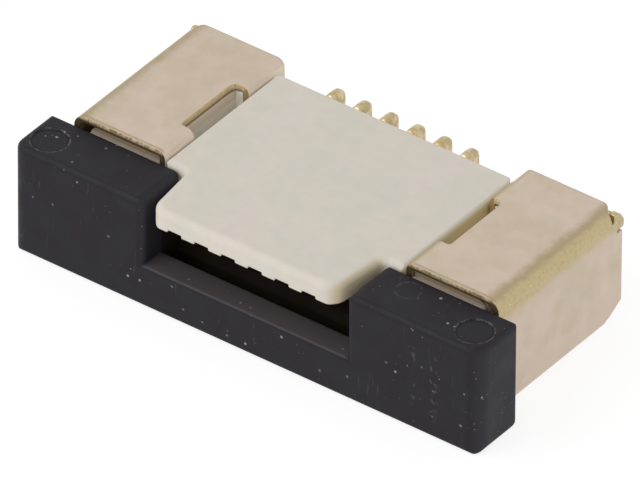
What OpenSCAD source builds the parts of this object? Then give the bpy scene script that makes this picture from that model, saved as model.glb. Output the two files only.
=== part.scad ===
// Six-way 0.5 mm pitch FPC connector: moulded housing, sliding actuator, six stamped
// terminals and two folded end brackets. Front (cable side) is -Y, solder plane is z = 0.

/* [Contact row] */
// Centre distance between neighbouring terminals, mm
pitch = 0.5; // [0.5:0.01:0.54]
// Thickness of the stamped terminal blade, mm
blade_t = 0.2; // [0.15:0.01:0.22]
// How far the solder tails reach behind the housing, mm
tail_reach = 1.08; // [0.8:0.02:1.4]
// Height of the blade at the solder tail, mm
tail_h = 0.18; // [0.12:0.01:0.24]
// How far the blade shoulders stand out behind the housing, mm
shoulder_reach = 0.36; // [0.28:0.01:0.42]

/* [Slider] */
// Overall length of the slider, mm
slider_len = 8.72; // [8.6:0.02:9.2]
// Height of the slider end blocks, mm
slider_h = 1.91; // [1.85:0.01:2.1]
// Front-to-back depth of the slider end blocks, mm
slider_d = 0.96; // [0.9:0.01:1.05]
// Height of the low bar under the cable mouth, mm
bar_h = 0.73; // [0.66:0.01:0.8]
// Front-to-back depth of the low bar, mm
bar_d = 0.49; // [0.4:0.01:0.6]
// How far the pressing tongue reaches behind the slider blocks, mm
tongue_reach = 1.75; // [1.4:0.05:1.9]
// Corner radius of the slider seen from above, mm
slider_corner_r = 0.24; // [0.15:0.01:0.3]
// How far the slider pulls out to release the cable, mm
slider_travel = 0.8; // [0.6:0.05:0.85]

/* [Housing] */
// Depth of the top plate behind the slider, mm
plate_d = 2.79; // [2.7:0.01:3]
// How far the lip reaches over the cable mouth, mm
lip_reach = 1.05; // [0.9:0.01:1.15]
// Thickness of the top plate and lip, mm
plate_t = 0.36; // [0.32:0.01:0.4]
// Corner radius at the front of the lip, mm
lip_corner_r = 0.29; // [0.2:0.01:0.34]
// Width of each terminal slot, mm
slot_w = 0.26; // [0.24:0.01:0.3]
// How far the top plate stands above the slider, mm
plate_rise = 0.06; // [0.04:0.01:0.1]

/* [End brackets] */
// Thickness of the folded bracket sheet, mm
sheet_t = 0.1; // [0.08:0.01:0.12]
// How far the bracket stands above the top plate, mm
bracket_rise = 0.1; // [0.08:0.01:0.14]
// Outside radius of the outer bend, mm
outer_bend_r = 0.22; // [0.18:0.01:0.28]
// Front-to-back depth of the bracket top, mm
bracket_d = 2.98; // [2.9:0.01:3.05]
// Distance between the outer faces of the two brackets, mm
bracket_span = 7.92; // [7.86:0.02:8]

/* [Hidden] */
$fn = 64;
e = 0.02; // cutter overrun, mm
hair = 0.025; // overlap of cutters that follow one another
contacts = 6;
board_gap = 0.03; // slider to solder plane
small_r = 0.05; // general moulding edge radius

// cable and mouth
cable_w = (contacts + 1) * pitch;
mouth_x = cable_w / 2 + 0.15; // half width between the slider blocks
cavity_x = mouth_x + 0.11;
lip_x = cable_w / 2 - 0.01;
lip_root_x = lip_x + 0.09;
tongue_x = cavity_x - 0.03;

// levels
slider_top = board_gap + slider_h;
plate_top = slider_top + plate_rise;
roof_z = plate_top - plate_t;
slot_top = plate_top - 0.14;
notch_h = 0.07; // visible mouth of each terminal slot
floor_z = 0.36;
base_z = 0.05; // underside of the housing
floor_slot_z = 0.12;
tongue_z0 = floor_z + 0.06;
tongue_top = tongue_z0 + 0.24;
root_z = 0.26; // bottom of the recess between bar and tongue
bracket_top = plate_top + bracket_rise;
sheet_under = bracket_top - sheet_t;

// front to back; y = 0 is the back plane of the closed slider
gap_y = 0.03;
plate_y0 = gap_y;
plate_y1 = gap_y + plate_d;
lip_y = gap_y - lip_reach;
cavity_y1 = plate_y1 - 0.55;
shoulder_y = plate_y1 + shoulder_reach;
tail_y = plate_y1 + tail_reach;
row_shift = -(min(lip_y, -slider_d) + tail_y) / 2;

// top plate and lip
plate_x = cable_w / 2 + 0.46;
plate_edge_r = 0.06;
plate_rear_edge_r = 0.03;
plate_corner_r = 0.15;
lip_edge_r = min(0.12, 0.45 * lip_corner_r);
root_r = 0.12; // fillet between lip and plate
lip_under_r = 0.04;

// centre of the lip's corner arc, and the flare of its side, which is tangent to that arc
lip_cx = lip_x - lip_corner_r;
lip_cy = lip_y + lip_corner_r;
lip_flare = acos(lip_corner_r / norm([lip_root_x - lip_cx, plate_y0 - lip_cy]))
          - atan2(plate_y0 - lip_cy, lip_root_x - lip_cx);
lip_side = [lip_cx + lip_corner_r * cos(lip_flare), lip_cy - lip_corner_r * sin(lip_flare)];
// straight part of the lip's side, and the centre of the fillet at its root
lip_side_len = (plate_y0 - lip_side[1] - root_r * (1 - sin(lip_flare))) / cos(lip_flare);
root_x = lip_side[0] + lip_side_len * sin(lip_flare) + root_r * cos(lip_flare);

// terminal slots
slot_depth = 0.2; // of the visible mouth, behind the front of the lip
roof_slot_y = 0.14; // start of the roof channel, behind the front of the lip
floor_slot_y = 0.45;

// end blocks of the housing
outer_x = bracket_span / 2;
side_in = outer_x - sheet_t;
block_x = side_in - 0.17;
block_y0 = 0.07;
ledge_d = 0.06; // step at the front of the block
block_y1 = plate_y1 - 0.02;
block_top = sheet_under - 0.05;
ledge_z = block_top - 0.09;
block_edge_r = 0.16;
wall_x = outer_x - 0.7;
wall_z0 = 0.14;

// bracket
bracket_y0 = 0.07;
bracket_y1 = bracket_y0 + bracket_d;
side_y1 = bracket_y1 + 0.12;
leg_x = plate_x + 0.04;
inner_bend_r = 0.14;
leg_z = roof_z - 0.25;
leg_trim_y = 0.12; // rear corner of the leg, cut back
leg_trim_z = 0.4;
notch_x = leg_x + 0.26;
groove_x = leg_x + sheet_t + 0.01;
recess_x = notch_x - 0.005; // the groove widens beside the notch
groove_z = leg_z - 0.05;
notch_y0 = 0.8;
notch_y1 = 2.15;
notch_r = 0.14;
foot_r = 0.19;
foot_x = outer_x - 0.7;
foot_y0 = 0.5;
foot_y1 = side_y1 - 0.38;
foot_rise = foot_r + 0.16;

// rounded ear at the upper back corner of the side plate, and its return tab
top_corner_r = 0.17;
top_side_x = outer_x - 0.1;
relief_w = 0.06;
relief_y = bracket_y1 - 0.14;
relief_z = bracket_top - 0.24;
ear_y0 = relief_y + relief_w;
ear_top = bracket_top - 0.1;
ear_corner = 0.16;
ear_z1 = bracket_top - 0.33;
ear_z0 = ear_z1 - 0.08;
ear_r = 0.12; // bend of the return tab
tab_len = 0.45;
slit_w = 0.06;
slit_y = side_y1 - 0.13;

// slider edges
slider_edge_r = min(0.1, 0.45 * slider_corner_r);
slider_end_r = 0.12; // lower edges of the slider ends
slider_foot_r = 0.25;
mouth_edge_r = 0.125; // upright edges at the front of the mouth
mouth_rear_r = 0.1; // and at its back
mouth_top_r = 0.165; // top edges along the mouth
rear_edge_r = 0.03;
bar_edge_r = 0.05;
recess_d = 0.6; // ejector recess
recess_depth = 0.015;
recess_in = 0.4; // from the end of the slider
recess_back = 0.05;

// slider arms
arm_z0 = 0.4;
arm_z1 = 1.35;
arm_x0 = wall_x + 0.1;
arm_x1 = side_in - 0.12;
arm_y1 = 2.05;
arm_root = 0.2;
hook_y = arm_y1 - 0.27;
hook_in = 0.18;
hook_flat = 0.1;
pocket_gap = 0.06;
block_z0 = arm_z1 + 0.08; // the end block hangs over the arm
pocket_y0 = hook_y - slider_travel - 0.05;

// terminal
beam_y0 = lip_y + 0.22;
beam_z = slot_top - 0.08;
beam_h = 0.2;
nose_r = 0.14;
nose_y = 0.34;
nose_z = tongue_top + 0.27 + nose_r;
stem_z0 = 0.14;
floor_arm_y = 0.6;
shoulder_r = 0.16;
shoulder_side_r = 0.09;
heel_r = 0.14;

// one quarter of a bent sheet, centre at the origin, quadrant chosen by signs
module bend(r, t, sx, sy) {
  intersection() {
    difference() {
      circle(r);
      circle(r - t);
    }
    translate([sx > 0 ? 0 : -r, sy > 0 ? 0 : -r]) square(r);
  }
}

// rectangle from corner to corner
module span(x0, y0, x1, y1) {
  translate([x0, y0]) square([x1 - x0, y1 - y0]);
}

// what a rounded corner of radius r takes away, corner at the origin, body towards +x +y
module corner_cut(r) {
  difference() {
    translate([-r, -r]) square(2 * r);
    translate([r, r]) circle(r);
  }
}

// rectangle with its four corner radii, given from the lower left anticlockwise
module round_rect(x0, y0, x1, y1, r) {
  c = [[x0, y0, 1, 1], [x1, y0, -1, 1], [x1, y1, -1, -1], [x0, y1, 1, -1]];
  difference() {
    span(x0, y0, x1, y1);
    for (i = [0:3])
      if (r[i] > 0) translate([c[i][0], c[i][1]]) scale([c[i][2], c[i][3]]) corner_cut(r[i]);
  }
}

// extrusions of a profile drawn as (y, z) along x, and as (x, z) along y
module along_x(x0, x1) {
  translate([x0, 0, 0]) rotate([90, 0, 90]) linear_extrude(x1 - x0) children();
}
module along_y(y0, y1) {
  translate([0, y1, 0]) rotate([90, 0, 0]) linear_extrude(y1 - y0) children();
}
module along_z(z0, z1) {
  translate([0, 0, z0]) linear_extrude(z1 - z0) children();
}
module both_sides() {
  children();
  mirror([1, 0, 0]) children();
}
module each_contact() {
  for (i = [0:contacts - 1]) translate([(i - (contacts - 1) / 2) * pitch, 0, 0]) children();
}

// what rounding r takes from the top edge of a quarter cylinder of radius big_r; its axis is
// at the origin, its top at z = 0, the quarter from -y round to +x, short of it by an angle
module corner_edge_cut(big_r, r, short = 0) {
  s = big_r + e;
  difference() {
    along_z(-r, e) polygon([[0, 0], [0, -s], [s, -s], [s, -s * tan(short)]]);
    cylinder(h = 4 * r, r = big_r - r, center = true);
    translate([0, 0, -r]) rotate_extrude() translate([big_r - r, 0]) circle(r);
  }
}

// the same in the inner corner where two walls meet in a fillet, the quarter from +y round to -x
module fillet_edge_cut(fillet_r, r, short) {
  s = fillet_r + r;
  difference() {
    along_z(-r, e) intersection() {
      circle(s);
      polygon([[0, 0], [0, s + e], [-s - e, s + e], [-s - e, (s + e) * tan(short)]]);
    }
    translate([0, 0, -r]) rotate_extrude() translate([s, 0]) circle(r);
  }
}

// outline of the top plate with its narrower lip
module plate_outline() {
  r = plate_corner_r;
  f = plate_edge_r;
  round_rect(-plate_x, plate_y0, plate_x, plate_y1, [f, f, r, r]);
  round_rect(-lip_x, lip_y, lip_x, plate_y0 + e, [lip_corner_r, lip_corner_r, 0, 0]);
  both_sides() {
    difference() {
      polygon([[0, lip_cy], [lip_cx, lip_cy], lip_side, [root_x, plate_y0 - root_r],
               [root_x, plate_y0 + e], [0, plate_y0 + e]]);
      translate([root_x, plate_y0 - root_r]) circle(root_r);
      polygon([lip_side, lip_side + lip_side_len * [sin(lip_flare), cos(lip_flare)],
               [root_x, plate_y0 - root_r]]);
    }
  }
}

// top plate and lip with their rounded edges
module top_plate() {
  difference() {
    intersection() {
      along_z(roof_z, plate_top) plate_outline();
      along_x(-plate_x - e, plate_x + e) round_rect(lip_y, roof_z, plate_y1, plate_top,
        [lip_under_r, 0, plate_rear_edge_r, lip_edge_r]);
      along_y(lip_y - e, plate_y1 + e) round_rect(-plate_x, roof_z - e, plate_x, plate_top,
        [0, 0, plate_edge_r, plate_edge_r]);
    }
    both_sides() {
      translate([lip_cx, lip_cy, plate_top]) corner_edge_cut(lip_corner_r, lip_edge_r, lip_flare);
      translate([lip_side[0], lip_side[1], plate_top]) rotate([0, 0, -lip_flare])
        along_y(-hair, lip_side_len + hair) scale([-1, -1]) corner_cut(lip_edge_r);
      translate([root_x, plate_y0 - root_r, plate_top])
        fillet_edge_cut(root_r, lip_edge_r, lip_flare);
      translate([0, plate_y0, plate_top])
        along_x(root_x - hair, plate_x + e) scale([1, -1]) corner_cut(lip_edge_r);
    }
  }
}

module housing_body() {
  top_plate();
  intersection() {
    along_x(-plate_x, plate_x)
      round_rect(plate_y0 + e, base_z, plate_y1, roof_z, [small_r, small_r, 0, 0]);
    along_z(base_z - e, roof_z + e) round_rect(-plate_x, plate_y0, plate_x, plate_y1,
      [plate_edge_r, plate_edge_r, plate_corner_r, plate_corner_r]);
  }
  both_sides() {
    along_y(block_y0 + ledge_d, block_y1)
      round_rect(plate_x - e, block_z0, block_x, block_top, [0, 0, block_edge_r, 0]);
    along_y(block_y0, block_y0 + ledge_d + e)
      round_rect(plate_x - e, block_z0, block_x, ledge_z, [0, 0, small_r, 0]);
    along_y(block_y0, block_y1)
      round_rect(plate_x - e, wall_z0, wall_x, block_z0 + e, [small_r, small_r, 0, 0]);
  }
}

// rounded lower edges of the ribs between the slot mouths, drawn as (x, z)
module slot_mouth() {
  span(-slot_w / 2, roof_z - e, slot_w / 2, roof_z + notch_h);
  for (side = [-1, 1]) translate([side * slot_w / 2, roof_z]) scale([side, 1]) corner_cut(small_r);
}

module housing_cuts() {
  // cable mouth and slider cavity
  along_x(-cavity_x, cavity_x)
    round_rect(-slider_d, floor_z, cavity_y1, roof_z, [0, plate_edge_r, plate_edge_r, 0]);
  each_contact() {
    along_y(lip_y - e, lip_y + slot_depth) slot_mouth();
    // roof channel, floor channel and open back
    along_x(-slot_w / 2, slot_w / 2) {
      span(lip_y + roof_slot_y, roof_z - e, plate_y1 + e, slot_top);
      span(floor_slot_y, floor_slot_z, plate_y1 + e, floor_z + e);
      span(cavity_y1 - e, floor_slot_z, plate_y1 + e, slot_top);
    }
  }
  both_sides() {
    // open groove for the bracket legs
    along_y(block_y0 - e, block_y1 + e) span(plate_x, groove_z, groove_x, block_top + e);
    along_y(notch_y0, notch_y1) span(plate_x, groove_z, recess_x, block_top + e);
    // pocket that the arm hook runs in
    along_z(arm_z0 - pocket_gap, arm_z1 + pocket_gap)
      span(wall_x - hook_in + 0.04, pocket_y0, wall_x + e, arm_y1 + 0.1);
  }
}

module housing() {
  color("Cornsilk") translate([0, row_shift, 0]) difference() {
    housing_body();
    housing_cuts();
  }
}

// slider end block with all its edges rounded
module slider_block() {
  r = slider_corner_r;
  x1 = slider_len / 2;
  y0 = -slider_d;
  edge = slider_edge_r;
  difference() {
    intersection() {
      along_z(board_gap, slider_top)
        round_rect(mouth_x, y0, x1, 0, [mouth_edge_r, r, small_r, mouth_rear_r]);
      along_x(mouth_x - e, x1 + e)
        round_rect(y0, board_gap, 0, slider_top, [small_r, slider_foot_r, rear_edge_r, edge]);
      along_y(y0 - e, e)
        round_rect(mouth_x, board_gap, x1, slider_top, [0, slider_end_r, edge, mouth_top_r]);
    }
    translate([x1 - r, y0 + r, slider_top]) corner_edge_cut(r, edge);
  }
}

// side arm with its inward hook
module slider_arm() {
  along_z(arm_z0, arm_z1) {
    round_rect(arm_x0, -arm_root, arm_x1, arm_y1, [0, 0, 0.12, 0.04]);
    polygon([[arm_x0 + e, hook_y], [arm_x0 - hook_in, hook_y], [arm_x0 - hook_in, hook_y + hook_flat],
             [arm_x0 + e, arm_y1 - e]]);
  }
}

// side view of the bar's web and of the tongue that presses the cable
module tongue_profile() {
  web_y = -slider_d + bar_d - e;
  polygon([[web_y, board_gap + 0.04], [0, board_gap + 0.04], [0, tongue_z0],
           [tongue_reach, tongue_z0], [tongue_reach, tongue_z0 + 0.08],
           [tongue_reach - 0.35, tongue_top], [0.05, tongue_top], [-0.08, tongue_top - 0.1],
           [-0.08, root_z], [web_y, root_z]]);
}

module slider() {
  r = bar_edge_r;
  color("DimGray") translate([0, row_shift, 0]) difference() {
    union() {
      both_sides() {
        slider_block();
        slider_arm();
      }
      along_x(-mouth_x - mouth_edge_r, mouth_x + mouth_edge_r)
        round_rect(-slider_d, board_gap, -slider_d + bar_d, board_gap + bar_h, [r, r, r, r]);
      along_x(-tongue_x, tongue_x) tongue_profile();
    }
    both_sides()
      translate([slider_len / 2 - recess_in, -slider_d / 2 - recess_back, slider_top - recess_depth])
        cylinder(h = recess_d, d = recess_d);
  }
}

// side view of the terminal inside the housing, with its solder tail
module terminal_profile() {
  stem_y = cavity_y1 + 0.1;
  round_rect(beam_y0, beam_z - beam_h, stem_y, beam_z, [0.08, 0, 0, 0.05]);
  // strut between beam and stem
  polygon([[stem_y + e, beam_z - 0.1], [0.85, beam_z - 0.18], [cavity_y1 - 0.3, beam_z - 0.3],
           [cavity_y1 - 0.05, beam_z - 0.42], [stem_y + e, beam_z - 0.6]]);
  // contact point
  difference() {
    polygon([[0.02, beam_z - 0.1], [0.2, nose_z], [0.48, nose_z], [0.92, beam_z - 0.1]]);
    translate([1.05, nose_z - 0.04]) circle(0.3);
  }
  translate([nose_y, nose_z]) circle(nose_r);
  span(cavity_y1 + 0.05, stem_z0, plate_y1 + 0.04, beam_z);
  round_rect(floor_arm_y, stem_z0, stem_y, floor_z - e, [0.06, 0, 0, 0.06]);
  round_rect(plate_y1 + e, 0, tail_y, tail_h, [0.04, 0.03, 0.06, 0]);
  translate([shoulder_y - e, tail_h - e]) difference() {
    square(heel_r + e);
    translate([heel_r + e, heel_r + e]) circle(heel_r);
  }
}

// domed shoulder that stands out behind the housing
module terminal_shoulder() {
  h = blade_t / 2;
  r = min(shoulder_side_r, h - 0.01);
  intersection() {
    along_x(-h, h) round_rect(plate_y1 + e, 0, shoulder_y, plate_top, [0, 0, shoulder_r, small_r]);
    along_y(plate_y1, shoulder_y + e) round_rect(-h, -e, h, plate_top, [0, 0, r, r]);
    along_z(-e, plate_top + e) round_rect(-h, plate_y1, h, shoulder_y, [0, 0, r, r]);
  }
}

module terminal(i) {
  color("Gold") translate([(i - (contacts + 1) / 2) * pitch, row_shift, 0]) {
    along_x(-blade_t / 2, blade_t / 2) terminal_profile();
    terminal_shoulder();
  }
}
module terminal_1() { terminal(1); }
module terminal_2() { terminal(2); }
module terminal_3() { terminal(3); }
module terminal_4() { terminal(4); }
module terminal_5() { terminal(5); }
module terminal_6() { terminal(6); }

// folded section of the right bracket: leg, inner bend, top, outer bend, side, foot
module bracket_section() {
  ir = inner_bend_r;
  orr = outer_bend_r;
  span(leg_x, leg_z, leg_x + sheet_t, bracket_top - ir);
  translate([leg_x + ir, bracket_top - ir]) bend(ir, sheet_t, -1, 1);
  span(leg_x + ir, sheet_under, outer_x - orr, bracket_top);
  translate([outer_x - orr, bracket_top - orr]) bend(orr, sheet_t, 1, 1);
  span(side_in, foot_r, outer_x, bracket_top - orr);
  translate([outer_x - foot_r, foot_r]) bend(foot_r, sheet_t, 1, -1);
  span(foot_x, 0, outer_x - foot_r, sheet_t);
}

// everything cut from the folded section, seen from the side
module bracket_side_cuts() {
  y0 = bracket_y0;
  y1 = side_y1;
  toe = foot_r - 0.06;
  polygon([[y0 - e, -e], [foot_y0, -e], [foot_y0, toe], [y0 + 0.12, foot_r + 0.05],
           [y0 + 0.03, foot_r + 0.3], [y0 + 0.03, 1.6], [y0 - e, 1.65]]);
  polygon([[foot_y1, -e], [y1 + e, -e], [y1 + e, foot_rise], [y1, foot_rise], [foot_y1, toe]]);
  // slit that frees the return tab
  round_rect(slit_y, ear_z0 - slit_w, y1 + e, ear_z0, [e, 0, 0, e]);
}

// upright ear with its rounded corner, and the tab folded in behind the housing
module bracket_ear() {
  along_x(side_in, outer_x)
    round_rect(ear_y0, relief_z - e, side_y1, ear_top, [0, 0, ear_corner, e]);
  along_z(ear_z0, ear_z1) {
    translate([outer_x - ear_r, side_y1]) bend(ear_r, sheet_t, 1, 1);
    span(outer_x - tab_len, side_y1 + ear_r - sheet_t, outer_x - ear_r, side_y1 + ear_r);
    span(side_in, side_y1 - small_r, outer_x, side_y1);
  }
}

module right_bracket_shape() {
  difference() {
    along_y(bracket_y0, side_y1) bracket_section();
    along_x(foot_x - e, outer_x + e) bracket_side_cuts();
    // the top and its bend stop short of the ear, with a relief between them
    along_z(relief_z, bracket_top + e) difference() {
      span(leg_x - e, relief_y, outer_x + e, side_y1 + e);
      round_rect(leg_x - 2 * e, relief_y - 1, top_side_x, bracket_y1, [0, 0, top_corner_r, 0]);
    }
    along_z(leg_z - e, relief_z + e) span(leg_x - e, bracket_y1, side_in - e, side_y1 + e);
    // notch between the two legs
    along_z(leg_z - e, bracket_top + e)
      round_rect(leg_x - e, notch_y0, notch_x, notch_y1, [0, small_r, notch_r, 0]);
    // legs are cut back at the rear corner
    along_x(leg_x - e, leg_x + sheet_t + e)
      polygon([[bracket_y1 + e, bracket_top - leg_trim_z], [bracket_y1 - leg_trim_y, leg_z - e],
               [bracket_y1 + e, leg_z - e]]);
  }
  bracket_ear();
}

module right_bracket() {
  color("Tan") translate([0, row_shift, 0]) right_bracket_shape();
}

module left_bracket() {
  color("Tan") translate([0, row_shift, 0]) mirror([1, 0, 0]) right_bracket_shape();
}

housing();
slider();
terminal_1();
terminal_2();
terminal_3();
terminal_4();
terminal_5();
terminal_6();
left_bracket();
right_bracket();
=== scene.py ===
# %% [markdown]
# # Six-way FPC connector
# A flat flexible cable pushes into the front of this connector and a dark slider locks it.
# The solids come ready made from the frame: a cream moulded housing, a charcoal slider, six
# gold-plated terminals and two folded metal brackets. This script gives them their finish.

# %% Load the solids
import math

import bmesh
import bpy
from mathutils import Matrix, Vector


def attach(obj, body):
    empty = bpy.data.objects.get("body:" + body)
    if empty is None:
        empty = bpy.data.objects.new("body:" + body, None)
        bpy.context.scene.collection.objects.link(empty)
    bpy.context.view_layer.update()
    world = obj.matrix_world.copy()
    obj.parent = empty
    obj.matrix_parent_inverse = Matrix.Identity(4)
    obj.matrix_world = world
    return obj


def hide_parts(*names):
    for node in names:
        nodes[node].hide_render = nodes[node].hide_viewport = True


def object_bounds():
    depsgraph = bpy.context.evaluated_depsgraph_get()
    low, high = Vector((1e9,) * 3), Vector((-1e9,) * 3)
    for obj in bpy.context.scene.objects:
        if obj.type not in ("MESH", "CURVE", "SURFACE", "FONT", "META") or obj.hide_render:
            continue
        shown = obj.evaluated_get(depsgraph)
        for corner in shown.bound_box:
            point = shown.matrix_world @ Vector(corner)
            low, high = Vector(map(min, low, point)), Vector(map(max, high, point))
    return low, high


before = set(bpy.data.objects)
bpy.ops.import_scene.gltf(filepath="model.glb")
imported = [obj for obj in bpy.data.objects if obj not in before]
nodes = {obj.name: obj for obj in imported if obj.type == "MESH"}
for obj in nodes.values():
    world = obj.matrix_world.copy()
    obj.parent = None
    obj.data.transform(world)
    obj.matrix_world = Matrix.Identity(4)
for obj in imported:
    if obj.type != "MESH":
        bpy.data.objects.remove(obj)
cad_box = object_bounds()
print("solids:", sorted(nodes))

# %% [markdown]
# ## Units and landmarks
# The part is under nine millimetres long, so places and sizes are easier to read in
# millimetres. Blender works in metres, and one factor turns one into the other. The
# landmarks are places on the solids that the finishes refer to, all in millimetres.

# %% Units and landmarks
MM = 0.001
BEND_X = 3.74           # centre of a bracket's outer bend, at + and - x
BEND_Z = 1.88
BEND_RADIUS = 0.22
SHEET_Z = 2.0           # underside of a bracket's top sheet, level with the housing's top
LEDGE_Z = 1.86          # step at the front of the housing's end blocks
BLOCK_X = 2.24          # inner side of the end blocks
MOUTH_X = 2.0           # side of the cable mouth
NOTCH_X = 2.46          # middle of the notch in a bracket
NOTCH_REAR = 0.68
PIN = (3.96, -1.97)     # ejector mark on each end of the slider
PIN_RADIUS = 0.3
MARK = (2.57, -1.75)    # the small mark beside the one at +x
MARK_RADIUS = 0.2
SHOULDER_Y = 1.42       # where the terminals leave the housing

low, high = (Vector(corner) for corner in cad_box)
middle = (low + high) / 2
print("length, depth, height in mm:", [round(side / MM, 2) for side in high - low])

# %% [markdown]
# ## Camera
# The part is seen from its front right, from above, through a very long lens, so that its
# parallel edges stay nearly parallel. The distance and the width of the view set the lens.

# %% Place the camera
TURN = math.radians(36.67)      # how far the camera stands to the right of the front
TILT = math.radians(36.52)      # how far it looks down
ROLL = math.radians(0.32)
DISTANCE = 330 * MM
VIEW_WIDTH = 9.584 * MM         # width of the view at the part
AIM = Vector((-0.159, -0.286, 0.784)) * MM
SENSOR = 36.0

look = Vector((-math.sin(TURN) * math.cos(TILT), math.cos(TURN) * math.cos(TILT), -math.sin(TILT)))
camera_data = bpy.data.cameras.new("camera")
camera_data.sensor_width = SENSOR
camera_data.lens = SENSOR * DISTANCE / VIEW_WIDTH
camera_data.clip_start = DISTANCE / 10
camera_data.clip_end = DISTANCE * 10
camera = bpy.data.objects.new("camera", camera_data)
camera.matrix_world = (Matrix.Translation(AIM - look * DISTANCE)
                       @ look.to_track_quat("-Z", "Y").to_matrix().to_4x4()
                       @ Matrix.Rotation(ROLL, 4, "Z"))
bpy.context.collection.objects.link(camera)
bpy.context.scene.camera = camera
print("lens in mm:", round(camera_data.lens))

# %% [markdown]
# ## Light
# Small metal and plastic parts look best in a light tent: white all round, with one soft
# lamp a little stronger than the rest to show the shape of the rounded edges. A second,
# weaker lamp stands low in front.

# %% Soft lamps
LAMP_DISTANCE = 80 * MM
LAMP_SIZE = 60 * MM


def soft_lamp(name, toward, level):
    """A square lamp aimed at the part. A white sheet that faces it renders at level."""
    data = bpy.data.lights.new(name, "AREA")
    data.size = LAMP_SIZE
    data.energy = level * (math.pi * LAMP_DISTANCE) ** 2
    lamp = bpy.data.objects.new(name, data)
    direction = Vector(toward).normalized()
    lamp.matrix_world = (Matrix.Translation(middle + direction * LAMP_DISTANCE)
                         @ direction.to_track_quat("Z", "Y").to_matrix().to_4x4())
    lamp.visible_camera = False
    bpy.context.collection.objects.link(lamp)
    return lamp


lamps = [soft_lamp("key_lamp", (-0.9, -1.0, 1.3), 0.34),
         soft_lamp("front_lamp", (0.15, -1.0, 0.12), 0.1)]
print("lamps:", [lamp.name for lamp in lamps])

# %% [markdown]
# The tent is the world itself. Reflections see it a little brighter than the matt faces do,
# and the camera sees it as plain white.

# %% The white tent
TENT_LEVEL = 0.66
GLOSS_LEVEL = 0.8
BACKGROUND = 1.05

world = bpy.data.worlds.new("light_tent")
bpy.context.scene.world = world
world.use_nodes = True
tree = world.node_tree
tree.nodes.clear()
rays = tree.nodes.new("ShaderNodeLightPath")


def stronger(ray, before, extra):
    """Adds extra to the strength before wherever this kind of ray looks."""
    made = tree.nodes.new("ShaderNodeMath")
    made.operation = "MULTIPLY_ADD"
    tree.links.new(rays.outputs[ray], made.inputs[0])
    made.inputs[1].default_value = extra
    if isinstance(before, float):
        made.inputs[2].default_value = before
    else:
        tree.links.new(before, made.inputs[2])
    return made.outputs[0]


strength = stronger("Is Glossy Ray", TENT_LEVEL, GLOSS_LEVEL - TENT_LEVEL)
strength = stronger("Is Transmission Ray", strength, GLOSS_LEVEL - TENT_LEVEL)
strength = stronger("Is Camera Ray", strength, BACKGROUND - TENT_LEVEL)
sky = tree.nodes.new("ShaderNodeBackground")
sky.inputs["Color"].default_value = (1.0, 1.0, 1.0, 1.0)
tree.links.new(strength, sky.inputs["Strength"])
out = tree.nodes.new("ShaderNodeOutputWorld")
tree.links.new(sky.outputs[0], out.inputs["Surface"])
print("tent level:", TENT_LEVEL, "seen in reflections:", GLOSS_LEVEL)

# %% [markdown]
# ## Shader tools
# Every finish here is grown from the place on the part, in millimetres, so that it stays
# put when the part is turned. The helpers below keep the node graphs short to write.

# %% Helpers for node graphs


def tone(red, green, blue):
    """A screen colour from 0 to 255, as the linear colour that Blender wants."""
    def linear(value):
        value /= 255
        return value / 12.92 if value <= 0.04045 else ((value + 0.055) / 1.055) ** 2.4
    return (linear(red), linear(green), linear(blue), 1.0)


class Graph:
    """A node tree that is written as a few plain calls."""

    def __init__(self, tree):
        self.tree = tree

    def feed(self, socket, value):
        """Links an output to the socket, or sets the socket to a constant."""
        if isinstance(value, bpy.types.NodeSocket):
            self.tree.links.new(value, socket)
        elif value is not None:
            socket.default_value = value

    def node(self, kind, settings=None, **inputs):
        """A node with its settings and its named inputs."""
        made = self.tree.nodes.new("ShaderNode" + kind)
        for name, value in (settings or {}).items():
            setattr(made, name, value)
        for name, value in inputs.items():
            self.feed(made.inputs[name.replace("_", " ")], value)
        return made

    def math(self, operation, first, second=None):
        """One step of arithmetic on one or two numbers."""
        made = self.node("Math", {"operation": operation})
        self.feed(made.inputs[0], first)
        self.feed(made.inputs[1], second)
        return made.outputs[0]

    def ramp(self, value, low, high, first=0.0, last=1.0):
        """Goes smoothly from first to last while value goes from low to high."""
        made = self.node("MapRange", {"interpolation_type": "SMOOTHSTEP"}, Value=value)
        self.feed(made.inputs["From Min"], low)
        self.feed(made.inputs["From Max"], high)
        self.feed(made.inputs["To Min"], first)
        self.feed(made.inputs["To Max"], last)
        return made.outputs["Result"]

    def mix(self, share, first, second):
        """The first colour, with this share of the second."""
        made = self.node("Mix", {"data_type": "RGBA"})
        self.feed(made.inputs["Factor"], share)
        self.feed(made.inputs[6], first)
        self.feed(made.inputs[7], second)
        return made.outputs[2]

    def noise(self, place, scale, detail=3.0, roughness=0.5):
        """Soft noise around a half. Scale is in bumps per millimetre."""
        made = self.node("TexNoise", Vector=place, Scale=scale, Detail=detail, Roughness=roughness)
        return made.outputs["Fac"]

    def parts(self, vector):
        """The three numbers of a place or a direction."""
        made = self.node("SeparateXYZ", Vector=vector)
        return made.outputs[0], made.outputs[1], made.outputs[2]

    def size(self, value):
        """The value without its sign, which makes a mask hold on both ends of the part."""
        return self.math("ABSOLUTE", value)

    def band(self, value, centre, half, soft):
        """One where value is within half of centre, and zero from soft further out."""
        away = self.size(self.math("SUBTRACT", value, centre))
        return self.ramp(away, half, half + soft, 1.0, 0.0)

    def both(self, *masks):
        """Where all the masks hold."""
        kept = masks[0]
        for mask in masks[1:]:
            kept = self.math("MULTIPLY", kept, mask)
        return kept

    def away_from(self, centre, x, y):
        """How far x, y is from a centre, seen from above."""
        across = self.math("SUBTRACT", x, centre[0])
        along = self.math("SUBTRACT", y, centre[1])
        flat = self.node("CombineXYZ", X=across, Y=along)
        length = self.node("VectorMath", {"operation": "LENGTH"}, Vector=flat.outputs[0])
        return length.outputs["Value"]


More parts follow.
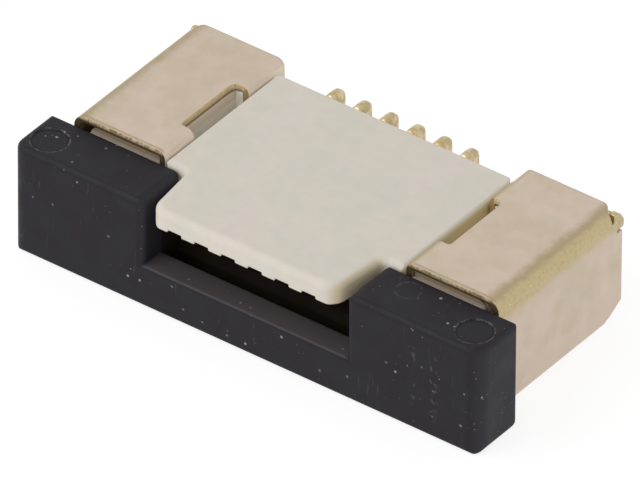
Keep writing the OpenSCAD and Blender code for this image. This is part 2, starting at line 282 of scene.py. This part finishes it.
print("graph calls:", [name for name in vars(Graph) if not name.startswith("_")])

# %% [markdown]
# A group holds an effect that several finishes share. A material starts with a Principled
# shader, the place in millimetres and the direction that each face looks.

# %% Groups and materials


def new_group(name, inputs, outputs):
    """An empty node group with named sockets, and the graph to fill it with."""
    group = bpy.data.node_groups.new(name, "ShaderNodeTree")
    kinds = {"v": "NodeSocketVector", "f": "NodeSocketFloat", "c": "NodeSocketColor"}
    for socket, kind in inputs:
        group.interface.new_socket(socket, in_out="INPUT", socket_type=kinds[kind])
    for socket, kind in outputs:
        group.interface.new_socket(socket, in_out="OUTPUT", socket_type=kinds[kind])
    start = group.nodes.new("NodeGroupInput")
    end = group.nodes.new("NodeGroupOutput")
    return group, Graph(group), start.outputs, end.inputs


def use_group(graph, group, **inputs):
    """Places a group in a material with its own values."""
    made = graph.tree.nodes.new("ShaderNodeGroup")
    made.node_tree = group
    for name, value in inputs.items():
        graph.feed(made.inputs[name.replace("_", " ")], value)
    return made.outputs


def new_material(name):
    """A material with its graph and shader, the place in millimetres and the way a face looks."""
    material = bpy.data.materials.new(name)
    material.use_nodes = True
    graph = Graph(material.node_tree)
    shader = material.node_tree.nodes["Principled BSDF"]
    coords = graph.node("TexCoord")
    place = graph.node("Mapping", {"vector_type": "POINT"}, Vector=coords.outputs["Object"])
    place.inputs["Scale"].default_value = (1 / MM,) * 3
    return material, graph, shader, place.outputs["Vector"], coords.outputs["Normal"]


def add_skin(graph, shader, height, edge, strength, depth):
    """Raises the height by this depth in millimetres, on top of the rounded edges."""
    bump = graph.node("Bump", Strength=strength, Distance=depth * MM, Height=height,
                      Normal=edge["Normal"])
    graph.feed(shader.inputs["Normal"], bump.outputs["Normal"])


print("ready for", len(nodes), "solids")

# %% [markdown]
# ## Shared effects
# Moulded plastic and plated metal both show slow changes of tone, a fine skin texture and
# a few pale specks of dust. Cloudy tone drifts between two colours: Size is how wide a
# cloud is, and a higher Contrast gives it a harder edge.

# %% Cloudy tone
cloudy_tone, g, start, end = new_group(
    "cloudy_tone", [("Place", "v"), ("Size", "f"), ("First", "c"), ("Second", "c"), ("Contrast", "f")],
    [("Color", "c"), ("Mask", "f")])
cell = g.math("DIVIDE", 1.0, start["Size"])
cloud = g.noise(start["Place"], cell, 4.0, 0.55)
half = g.math("DIVIDE", 0.22, start["Contrast"])
mask = g.ramp(cloud, g.math("SUBTRACT", 0.5, half), g.math("ADD", 0.5, half))
g.feed(end["Mask"], mask)
g.feed(end["Color"], g.mix(mask, start["First"], start["Second"]))
print(cloudy_tone.name, "has", len(cloudy_tone.nodes), "nodes")

# %% [markdown]
# The skin of a moulding or a rolled sheet is a fine grain on slow waves.

# %% Skin texture
skin_texture, g, start, end = new_group(
    "skin_texture", [("Place", "v"), ("Grain", "f"), ("Waves", "f")], [("Height", "f")])
fine = g.noise(start["Place"], g.math("DIVIDE", 1.0, start["Grain"]), 3.0, 0.6)
slow = g.noise(start["Place"], g.math("DIVIDE", 1.0, start["Waves"]), 1.0)
g.feed(end["Height"], g.math("ADD", g.math("MULTIPLY", fine, 0.6), slow))
print(skin_texture.name, "has", len(skin_texture.nodes), "nodes")

# %% [markdown]
# Dust, and the painted glints on the brackets, lie as round specks, one at most in each cell of a
# scattered pattern. Share is how many of the cells have one, and the specks vary in size around Radius.

# %% Dust and glint specks
dust_and_glint_specks, g, start, end = new_group(
    "dust_and_glint_specks", [("Place", "v"), ("Spacing", "f"), ("Radius", "f"), ("Share", "f")], [("Mask", "f")])
scaled = g.node("VectorMath", {"operation": "SCALE"}, Vector=start["Place"])
g.feed(scaled.inputs["Scale"], g.math("DIVIDE", 1.0, start["Spacing"]))
cells = g.node("TexVoronoi", Vector=scaled.outputs[0], Scale=1.0)
reach = g.math("DIVIDE", start["Radius"], start["Spacing"])
random = g.node("SeparateColor", Color=cells.outputs["Color"])
size = g.math("MULTIPLY", reach, g.ramp(random.outputs[1], 0.0, 1.0, 0.5, 1.3))
dot = g.ramp(g.math("DIVIDE", cells.outputs["Distance"], size), 0.5, 1.0, 1.0, 0.0)
kept = g.math("LESS_THAN", random.outputs[0], start["Share"])
g.feed(end["Mask"], g.math("MULTIPLY", dot, kept))
print(dust_and_glint_specks.name, "has", len(dust_and_glint_specks.nodes), "nodes")

# %% [markdown]
# Sharp edges are rounded by a hair in the shading. Where the rounded direction leaves the
# flat one, the edge is exposed, and the mask tells a finish to wear it.

# %% Worn edges
worn_edges, g, start, end = new_group(
    "worn_edges", [("Radius", "f")], [("Mask", "f"), ("Normal", "v")])
rounded = g.node("Bevel", {"samples": 6}, Radius=start["Radius"])
flat = g.node("NewGeometry")
agree = g.node("VectorMath", {"operation": "DOT_PRODUCT"})
g.feed(agree.inputs[0], rounded.outputs["Normal"])
g.feed(agree.inputs[1], flat.outputs["Normal"])
g.feed(end["Mask"], g.ramp(agree.outputs["Value"], 0.98, 0.85))
g.feed(end["Normal"], rounded.outputs["Normal"])
print(worn_edges.name, "has", len(worn_edges.nodes), "nodes")

# %% [markdown]
# A yellow band round the bend, with a dull line above it, is a painted reflection of the
# surroundings in the fold. Edge is how far out the middle of the bend is, less its height.

# %% Painted reflection on the fold
fold_reflection_group, g, start, end = new_group(
    "fold_reflection_group", [("Place", "v"), ("Edge", "f"), ("Radius", "f")], [("Line", "f"), ("Band", "f")])
x, y, z = g.parts(start["Place"])
# runs from -Radius where the bend leaves the top to +Radius where it meets the side
along = g.math("SUBTRACT", g.math("SUBTRACT", g.size(x), z), start["Edge"])
ragged = g.math("MULTIPLY", g.math("SUBTRACT", g.noise(start["Place"], 5.0, 4.0, 0.7), 0.5), 0.22)
along = g.math("DIVIDE", g.math("ADD", along, ragged), start["Radius"])
g.feed(end["Line"], g.both(g.ramp(along, -1.5, -0.5), g.ramp(along, -0.5, 0.15, 1.0, 0.0)))
g.feed(end["Band"], g.both(g.ramp(along, -0.6, 0.0), g.ramp(along, 1.3, 2.2, 1.0, 0.0)))
print("shared effects:", [group.name for group in bpy.data.node_groups])

# %% [markdown]
# ## Cream housing resin
# The housing is moulded in an ivory heat-proof resin. It is matt and a little uneven in
# tone. The walls that stand close to the plated brackets get painted shade that darkens lower
# down, with a painted yellow reflection of the gold, and the side of the lip beside the slider
# gets painted shade.

# %% Tone of the resin
cream_resin, g, shader, place, facing = new_material("cream_resin")
x, y, z = g.parts(place)
side_x, _, side_z = g.parts(facing)
cloud = use_group(g, cloudy_tone, Place=place, Size=0.9, First=tone(221, 212, 202),
                  Second=tone(214, 211, 198), Contrast=1.0)
mottle = use_group(g, cloudy_tone, Place=place, Size=0.25, First=tone(208, 200, 188),
                   Second=tone(222, 216, 203), Contrast=0.8)
colour = g.mix(0.3, cloud["Color"], mottle["Color"])
faces_right = g.ramp(side_x, 0.3, 0.8)
# painted shade and a painted yellow reflection on the housing's right wall in the gap by the bracket,
# darker lower down
plate_wall_shade = g.both(faces_right, g.ramp(z, SHEET_Z, 1.9), g.ramp(x, MOUTH_X, 2.15))
wall_shade_and_reflection = g.mix(g.ramp(z, SHEET_Z, LEDGE_Z), tone(250, 242, 206), tone(218, 202, 160))
colour = g.mix(plate_wall_shade, colour, wall_shade_and_reflection)
# painted shade on the right side of the lip, which stands next to the dark slider
lip_wall_shade = g.both(faces_right, g.ramp(x, 1.4, 1.6), g.ramp(x, 2.1, MOUTH_X))
colour = g.mix(g.math("MULTIPLY", lip_wall_shade, 0.6), colour, tone(214, 196, 150))
print("cream resin: clouds and the walls by the brackets")

# %% [markdown]
# The end blocks under the brackets are the same resin. Their front below the sheet is painted
# darker as shade, darkest just under the sheet, and the strip of their top just under the sheet's
# front is painted dark as shade. Behind their front they are painted paler than the resin, as
# painted light against the shade of the groove, and the metal throws a painted brown shade on the
# floor of each notch. Deep in the mouth, where little light comes, the resin is painted brown as shade.

# %% End blocks and cavity
block = g.both(g.ramp(g.size(x), BLOCK_X, 2.3), g.ramp(z, 1.99, 1.96))
# painted shade on the front of the end blocks under the sheet, darker near the top, and painted dark
# shade on the strip of top in front of the sheet
block_light_and_shade = g.mix(g.ramp(z, 1.9, LEDGE_Z), tone(166, 146, 116), tone(180, 166, 150))
under_sheet_shade = g.both(g.ramp(side_z, 0.5, 0.8), g.ramp(z, 1.9, 1.93), g.ramp(y, -1.1, -1.2))
block_light_and_shade = g.mix(under_sheet_shade, block_light_and_shade, tone(56, 44, 28))
behind_front = g.ramp(y, -1.3, -1.25)
shade = g.both(g.ramp(g.size(x), NOTCH_X, 2.56), g.ramp(z, 1.75, 1.82), g.band(y, 0.04, 0.7, 0.06))
# painted light: behind their front the end blocks and the notch floor are paler than the resin, against
# the groove's shade, with painted brown shade beside the bracket's wall
notch_floor_light_and_shade = g.mix(shade, tone(255, 250, 240), tone(206, 176, 130))
block_light_and_shade = g.mix(behind_front, block_light_and_shade, notch_floor_light_and_shade)
near_top = g.math("MAXIMUM", behind_front, g.ramp(z, 1.7, 1.85))
colour = g.mix(g.both(block, near_top), colour, block_light_and_shade)
depth = g.both(g.ramp(y, -2.42, -2.36), g.ramp(y, 0.86, 0.84))
# painted shade: the resin deep in the mouth is painted brown
mouth_shade = g.both(g.ramp(g.size(x), 2.05, MOUTH_X), depth, g.ramp(z, 1.66, 1.63), g.ramp(z, 0.3, 0.35))
colour = g.mix(mouth_shade, colour, tone(96, 74, 56))
print("cream resin: end blocks and cavity")

# %% [markdown]
# A thin resin lets a little light through, which softens its edges. A few specks of dust
# and a fine grain finish it.

# %% Skin of the resin
specks = use_group(g, dust_and_glint_specks, Place=place, Spacing=0.35, Radius=0.016, Share=0.12)
colour = g.mix(g.math("MULTIPLY", specks["Mask"], 0.5), colour, tone(176, 164, 146))
g.feed(shader.inputs["Base Color"], colour)
g.feed(shader.inputs["Roughness"], g.ramp(cloud["Mask"], 0.0, 1.0, 0.55, 0.65))
shader.inputs["Subsurface Weight"].default_value = 0.15
shader.inputs["Subsurface Radius"].default_value = (1.0, 0.8, 0.5)
shader.inputs["Subsurface Scale"].default_value = 0.15 * MM
shader.inputs["Specular IOR Level"].default_value = 0.3
skin = use_group(g, skin_texture, Place=place, Grain=0.05, Waves=0.6)
edge = use_group(g, worn_edges, Radius=0.03 * MM)
add_skin(g, shader, skin["Height"], edge, 0.4, 0.004)
print(cream_resin.name, "has", len(g.tree.nodes), "nodes")

# %% [markdown]
# ## Charcoal slider resin
# The slider is a glass-filled charcoal resin. Its dull skin shows scuffs and pale dust far
# more than a light part does. Fine scuffs run up and down its ends, and two lines of nicks
# mark the front of the end at +x.

# %% Tone, scuffs and nicks
black_resin, g, shader, place, facing = new_material("black_resin")
x, y, z = g.parts(place)
side_x, _, side_z = g.parts(facing)
cloud = use_group(g, cloudy_tone, Place=place, Size=0.6, First=tone(28, 27, 33),
                  Second=tone(34, 29, 35), Contrast=1.0)
edge = use_group(g, worn_edges, Radius=0.05 * MM)
worn = g.both(edge["Mask"], g.ramp(g.noise(place, 9.0, 3.0, 0.7), 0.4, 0.6))
colour = g.mix(g.math("MULTIPLY", worn, 0.5), cloud["Color"], tone(72, 67, 70))
# painted light: faces turned towards +x are painted lighter
colour = g.mix(g.ramp(side_x, 0.2, 0.9, 0.0, 0.8), colour, tone(48, 47, 54))
upright = g.ramp(side_z, 0.5, 0.2)
streaks = g.node("VectorMath", {"operation": "MULTIPLY"}, Vector=place)
streaks.inputs[1].default_value = (14.0, 14.0, 1.6)
scuff = g.both(g.ramp(g.noise(streaks.outputs[0], 1.0, 3.0, 0.7), 0.62, 0.74), upright)
colour = g.mix(g.math("MULTIPLY", scuff, 0.22), colour, tone(96, 90, 94))
lines = g.math("MAXIMUM", g.band(x, 3.15, 0.02, 0.03), g.band(x, 3.53, 0.05, 0.04))
nicks = g.both(lines, g.ramp(g.noise(place, 8.0, 3.0, 0.7), 0.54, 0.62), g.band(z, 0.95, 0.45, 0.2))
nicks = g.both(nicks, upright, g.ramp(y, -2.2, -2.3))
colour = g.mix(g.math("MULTIPLY", nicks, 0.5), colour, tone(84, 84, 90))
print("charcoal resin: tone, scuffs and nicks")

# %% [markdown]
# The top of the low bar is painted lighter, as painted light that comes in under the lip. The
# marks of two ejector pins on top have a broken pale rim with a dark line inside it, and a smaller,
# fainter mark lies beside the one at +x.

# %% Bar and ejector marks
# painted light on the top of the low bar, under the lip
lit_bar_top = g.both(g.ramp(side_z, 0.5, 0.9), g.band(z, 0.75, 0.03, 0.02), g.ramp(g.size(x), 1.95, 1.85))
colour = g.mix(lit_bar_top, colour, tone(80, 74, 77))
on_top = g.ramp(z, 1.85, 1.9)
broken = g.ramp(g.noise(place, 14.0, 2.0, 0.6), 0.46, 0.56)
from_pin = g.away_from(PIN, g.size(x), y)
rim = g.both(g.band(from_pin, PIN_RADIUS, 0.008, 0.018), on_top)
colour = g.mix(g.both(rim, broken), colour, tone(88, 88, 92))
inner_line = g.both(g.band(from_pin, PIN_RADIUS - 0.025, 0.008, 0.012), on_top)
colour = g.mix(inner_line, colour, tone(16, 14, 16))
from_mark = g.away_from(MARK, x, y)
mark = g.both(g.band(from_mark, MARK_RADIUS, 0.008, 0.02), on_top, g.ramp(broken, 0.0, 1.0, 0.05, 0.5))
colour = g.mix(mark, colour, tone(74, 76, 84))
print("charcoal resin: bar and ejector marks")

# %% [markdown]
# Dust of two sizes gathers in patches. The parts inside the mouth are painted darker, as painted
# shade, and are duller.

# %% Dust and skin of the slider
patchy = g.ramp(g.noise(place, 1.6, 2.0), 0.45, 0.62)
dust = use_group(g, dust_and_glint_specks, Place=place, Spacing=0.2, Radius=0.024, Share=0.7)
colour = g.mix(g.both(dust["Mask"], g.ramp(patchy, 0.0, 1.0, 0.35, 0.9)), colour, tone(150, 152, 160))
fine_dust = use_group(g, dust_and_glint_specks, Place=place, Spacing=0.09, Radius=0.013, Share=0.5)
fine_share = g.ramp(patchy, 0.0, 1.0, 0.1, 0.6)
colour = g.mix(g.both(fine_dust["Mask"], fine_share), colour, tone(128, 126, 132))
# painted shade: the slider inside the mouth is painted a warm near black
mouth_shade = g.both(g.ramp(y, -1.93, -1.88), g.ramp(g.size(x), 1.99, 1.9), g.ramp(z, 1.2, 1.1))
colour = g.mix(mouth_shade, colour, tone(36, 26, 19))
g.feed(shader.inputs["Base Color"], colour)
gloss = g.ramp(cloud["Mask"], 0.0, 1.0, 0.5, 0.62)
g.feed(shader.inputs["Roughness"], g.math("ADD", gloss, g.math("MULTIPLY", mouth_shade, 0.35)))
shader.inputs["Specular IOR Level"].default_value = 0.25
skin = use_group(g, skin_texture, Place=place, Grain=0.04, Waves=0.5)
add_skin(g, shader, skin["Height"], edge, 0.5, 0.006)
print(black_resin.name, "has", len(g.tree.nodes), "nodes")

# %% [markdown]
# ## Bracket plate
# The brackets are a pale rose gold that has gone cloudy. Their outer folds carry a painted
# yellow reflection, blotched and with painted glints. The inner bend has painted glints, its leg
# is painted pale against the shade of the gap, and at +x it is painted olive as shade in that gap.

# %% Clouds and folds
bracket_plate, g, shader, place, facing = new_material("bracket_plate")
x, y, z = g.parts(place)
side_x, side_y, _ = g.parts(facing)
cloud = use_group(g, cloudy_tone, Place=place, Size=0.8, First=tone(226, 205, 188),
                  Second=tone(214, 200, 178), Contrast=1.0)
stain = use_group(g, cloudy_tone, Place=place, Size=0.35, First=tone(206, 188, 166),
                  Second=tone(226, 210, 194), Contrast=1.0)
colour = g.mix(0.35, cloud["Color"], stain["Color"])
bend_reflection = use_group(g, fold_reflection_group, Place=place, Edge=BEND_X - BEND_Z, Radius=BEND_RADIUS)
# painted reflection round the outer fold: a yellow band with a dull line above it
colour = g.mix(g.math("MULTIPLY", bend_reflection["Band"], 0.95), colour, tone(208, 190, 146))
colour = g.mix(g.math("MULTIPLY", bend_reflection["Line"], 0.85), colour, tone(182, 164, 126))
blots = g.ramp(g.noise(place, 16.0, 3.0, 0.6), 0.5, 0.66)
colour = g.mix(g.both(bend_reflection["Band"], blots, 0.35), colour, tone(180, 162, 116))
# painted glints: bright specks on the outer fold and on the inner bend
painted_glints = use_group(g, dust_and_glint_specks, Place=place, Spacing=0.09, Radius=0.018, Share=0.3)
colour = g.mix(g.both(bend_reflection["Band"], painted_glints["Mask"], 0.7), colour, tone(240, 228, 194))
inner_bend = g.both(g.ramp(g.size(x), 2.5, 2.38), g.ramp(z, 1.9, SHEET_Z))
colour = g.mix(g.both(inner_bend, painted_glints["Mask"], 0.8), colour, tone(246, 234, 212))
# painted light: the inner legs are painted pale against the shade of the narrow gap beside the housing
leg_painted_light = g.both(g.ramp(g.size(x), 2.36, 2.3), g.ramp(z, 2.03, 1.98))
colour = g.mix(leg_painted_light, colour, tone(250, 238, 220))
rim = g.both(g.ramp(y, -1.29, -1.325), g.ramp(z, 2.05, 2.09))
colour = g.mix(g.both(rim, g.ramp(blots, 0.0, 1.0, 0.55, 0.9)), colour, tone(174, 154, 124))
# painted shade: olive on the lower inner bend at +x, in the gap beside the housing
gap_shade_olive = g.both(g.ramp(x, 2.4, 2.33), g.ramp(x, MOUTH_X, 2.1), g.ramp(z, 1.9, SHEET_Z))
colour = g.mix(g.math("MULTIPLY", gap_shade_olive, 0.8), colour, tone(196, 182, 138))
print("bracket plate: clouds and folds")

# %% [markdown]
# Where the press has cut the sheet, along the front and round the notch, the metal is bare,
# torn and brown. The lower part of each cut is painted darker as shade beneath the sheet,
# darkest along the front.

# %% Cut edges
faces_front = g.ramp(g.size(side_y), 0.6, 0.8)
front_cut = g.both(faces_front, g.ramp(y, -1.1, -1.2))
faces_out = g.ramp(g.math("MAXIMUM", g.size(side_x), g.size(side_y)), 0.6, 0.8)
in_notch = g.both(g.ramp(z, 1.985, SHEET_Z), g.band(g.size(x), NOTCH_X, 0.12, 0.02))
notch_cut = g.both(faces_out, in_notch, g.ramp(y, -0.8, -0.7), g.ramp(y, 0.9, 0.8))
rear_wall = g.both(faces_front, g.band(y, NOTCH_REAR, 0.1, 0.02), g.ramp(z, 1.75, 1.85))
cut = g.math("MAXIMUM", front_cut, g.math("MAXIMUM", notch_cut, rear_wall))
torn = g.noise(place, 18.0, 3.0, 0.7)
cut_tone = g.mix(g.ramp(torn, 0.35, 0.65), tone(146, 124, 90), tone(224, 204, 170))
# painted shade on the lower part of the cuts, darkest on the front cut
lower_cut_shade = g.mix(front_cut, tone(168, 142, 98), tone(80, 64, 39))
cut_tone = g.mix(g.ramp(z, 2.075, 2.02), cut_tone, lower_cut_shade)
cut_tone = g.mix(g.both(notch_cut, 0.5), cut_tone, tone(250, 226, 176))
edge = use_group(g, worn_edges, Radius=0.03 * MM)
worn = g.both(edge["Mask"], g.ramp(z, SHEET_Z, 2.05), 0.6)
colour = g.mix(worn, colour, tone(186, 164, 130))
colour = g.mix(cut, colour, cut_tone)
print("bracket plate: cut edges")

# %% [markdown]
# The plating is metallic and satin. The bare cuts and the inner legs are duller.

# %% Skin of the brackets
g.feed(shader.inputs["Base Color"], colour)
dull = g.math("MAXIMUM", cut, leg_painted_light)
g.feed(shader.inputs["Metallic"], g.ramp(dull, 0.0, 1.0, 1.0, 0.15))
gloss = g.math("ADD", g.ramp(cloud["Mask"], 0.0, 1.0, 0.34, 0.42), g.math("MULTIPLY", dull, 0.3))
g.feed(shader.inputs["Roughness"], gloss)
skin = use_group(g, skin_texture, Place=place, Grain=0.06, Waves=0.5)
height = g.math("ADD", skin["Height"], g.both(cut, torn, 3.0))
add_skin(g, shader, height, edge, 0.5, 0.004)
print(bracket_plate.name, "has", len(g.tree.nodes), "nodes")

# %% [markdown]
# ## Terminal plate
# The terminals carry a warmer gold with olive mottling and dull edges. A deeper orange
# shows in places where they leave the housing.

# %% Gold plate
gold_plate, g, shader, place, _ = new_material("gold_plate")
_, y, _ = g.parts(place)
cloud = use_group(g, cloudy_tone, Place=place, Size=0.12, First=tone(234, 212, 174),
                  Second=tone(198, 184, 142), Contrast=1.8)
edge = use_group(g, worn_edges, Radius=0.04 * MM)
skin = use_group(g, skin_texture, Place=place, Grain=0.04, Waves=0.3)
specks = use_group(g, dust_and_glint_specks, Place=place, Spacing=0.12, Radius=0.014, Share=0.25)
colour = g.mix(g.math("MULTIPLY", edge["Mask"], 0.7), cloud["Color"], tone(160, 144, 102))
root = g.both(g.band(y, SHOULDER_Y, 0.05, 0.06), g.ramp(g.noise(place, 7.0, 2.0), 0.4, 0.6))
colour = g.mix(g.math("MULTIPLY", root, 0.6), colour, tone(206, 164, 96))
colour = g.mix(g.math("MULTIPLY", specks["Mask"], 0.6), colour, tone(236, 222, 186))
g.feed(shader.inputs["Base Color"], colour)
shader.inputs["Metallic"].default_value = 1.0
g.feed(shader.inputs["Roughness"], g.ramp(cloud["Mask"], 0.0, 1.0, 0.3, 0.42))
add_skin(g, shader, skin["Height"], edge, 0.5, 0.004)
print(gold_plate.name, "has", len(g.tree.nodes), "nodes")

# %% [markdown]
# ## Dress the solids
# Each solid keeps its mesh and takes the finish that its material slot names.

# %% Hand out the finishes
finishes = {"cream_resin": cream_resin, "black_resin": black_resin,
            "bracket_plate": bracket_plate, "gold_plate": gold_plate}
for name, solid in sorted(nodes.items()):
    for slot in solid.material_slots:
        slot.material = finishes[slot.material.name.split(".")[0]]
    print(name, "wears", solid.material_slots[0].material.name)

# %% [markdown]
# ## Softened terminals
# The terminals are plated in a barrel, which leaves no sharp corner on them, and their heads
# behind the housing are well rounded. Each one is replaced by a copy of its own mesh: the
# copy is given an even grid, its corners are eased, and its head is smoothed to a dome.

# %% Round the terminals
GRID = 0.02             # all in mm
WELD = 0.0002
HEAD_BACK = 1.41        # the heads stand behind this plane
HEAD_LOW = 1.5
EASE_ALL = 2            # rounds of smoothing
EASE_HEAD = 18


def on_a_grid(node):
    """The terminal's mesh in millimetres, welded and laid on an even grid."""
    solid = bmesh.new()
    solid.from_mesh(node.data)
    bmesh.ops.transform(solid, matrix=Matrix.Scale(1 / MM, 4), verts=solid.verts)
    bmesh.ops.remove_doubles(solid, verts=solid.verts, dist=WELD)
    data = bpy.data.meshes.new(node.name + "_grid")
    solid.to_mesh(data)
    solid.free()
    piece = bpy.data.objects.new(node.name + "_soft", data)
    bpy.context.collection.objects.link(piece)
    grid = piece.modifiers.new("grid", "REMESH")
    grid.mode = "VOXEL"
    grid.voxel_size = GRID
    ready = piece.evaluated_get(bpy.context.evaluated_depsgraph_get())
    mesh = bmesh.new()
    mesh.from_mesh(ready.to_mesh())
    piece.modifiers.clear()
    return piece, mesh


def softened(node):
    """A copy of a terminal with eased corners and a domed head."""
    piece, mesh = on_a_grid(node)
    head = [vert for vert in mesh.verts if vert.co.y > HEAD_BACK and vert.co.z > HEAD_LOW]
    for verts, rounds in ((mesh.verts, EASE_ALL), (head, EASE_HEAD)):
        for _ in range(rounds):
            bmesh.ops.smooth_vert(mesh, verts=verts, factor=0.5,
                                  use_axis_x=True, use_axis_y=True, use_axis_z=True)
    mesh.transform(Matrix.Scale(MM, 4))
    eased = bpy.data.meshes.new(node.name + "_soft")
    mesh.to_mesh(eased)
    mesh.free()
    eased.materials.append(node.material_slots[0].material)
    eased.shade_smooth()
    piece.data = eased
    return piece


for name in sorted(nodes):
    if name.startswith("terminal_"):
        piece = softened(nodes[name])
        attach(piece, "connector_body")
        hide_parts(name)
        print(name, "rounded:", len(piece.data.polygons), "faces")

# %% [markdown]
# ## Floor
# A white sheet under the part keeps a faint shadow, so that the part doesn't seem to float.
# It glows a little, which holds it as white as the tent behind it.

# %% White sheet
SHEET_HALF = 300 * MM
PAPER_GAP = 0.002 * MM
CAMERA_GLOW = 1.12
OTHER_GLOW = 0.86

corners = [(-SHEET_HALF, -SHEET_HALF, 0), (SHEET_HALF, -SHEET_HALF, 0),
           (SHEET_HALF, SHEET_HALF, 0), (-SHEET_HALF, SHEET_HALF, 0)]
floor_mesh = bpy.data.meshes.new("floor")
floor_mesh.from_pydata(corners, [], [(0, 1, 2, 3)])
floor = bpy.data.objects.new("floor", floor_mesh)
bpy.context.collection.objects.link(floor)
paper, g, shader, *_ = new_material("white_paper")
shader.inputs["Base Color"].default_value = (0.9, 0.9, 0.9, 1)
shader.inputs["Roughness"].default_value = 0.9
shader.inputs["Specular IOR Level"].default_value = 0.0
rays = g.node("LightPath")
level = g.ramp(rays.outputs["Is Camera Ray"], 0.0, 1.0, OTHER_GLOW, CAMERA_GLOW)
glow = g.node("Emission", Strength=level)
share = g.node("MixShader", Fac=0.75)
g.feed(share.inputs[1], shader.outputs["BSDF"])
g.feed(share.inputs[2], glow.outputs["Emission"])
g.feed(paper.node_tree.nodes["Material Output"].inputs["Surface"], share.outputs["Shader"])
floor_mesh.materials.append(paper)
floor.location.z = low.z - PAPER_GAP
print("floor half width in mm:", round(SHEET_HALF / MM))

# %% [markdown]
# ## Finish
# The colour handling is set to Standard.

# %% Colour handling
bpy.context.scene.view_settings.view_transform = "Standard"
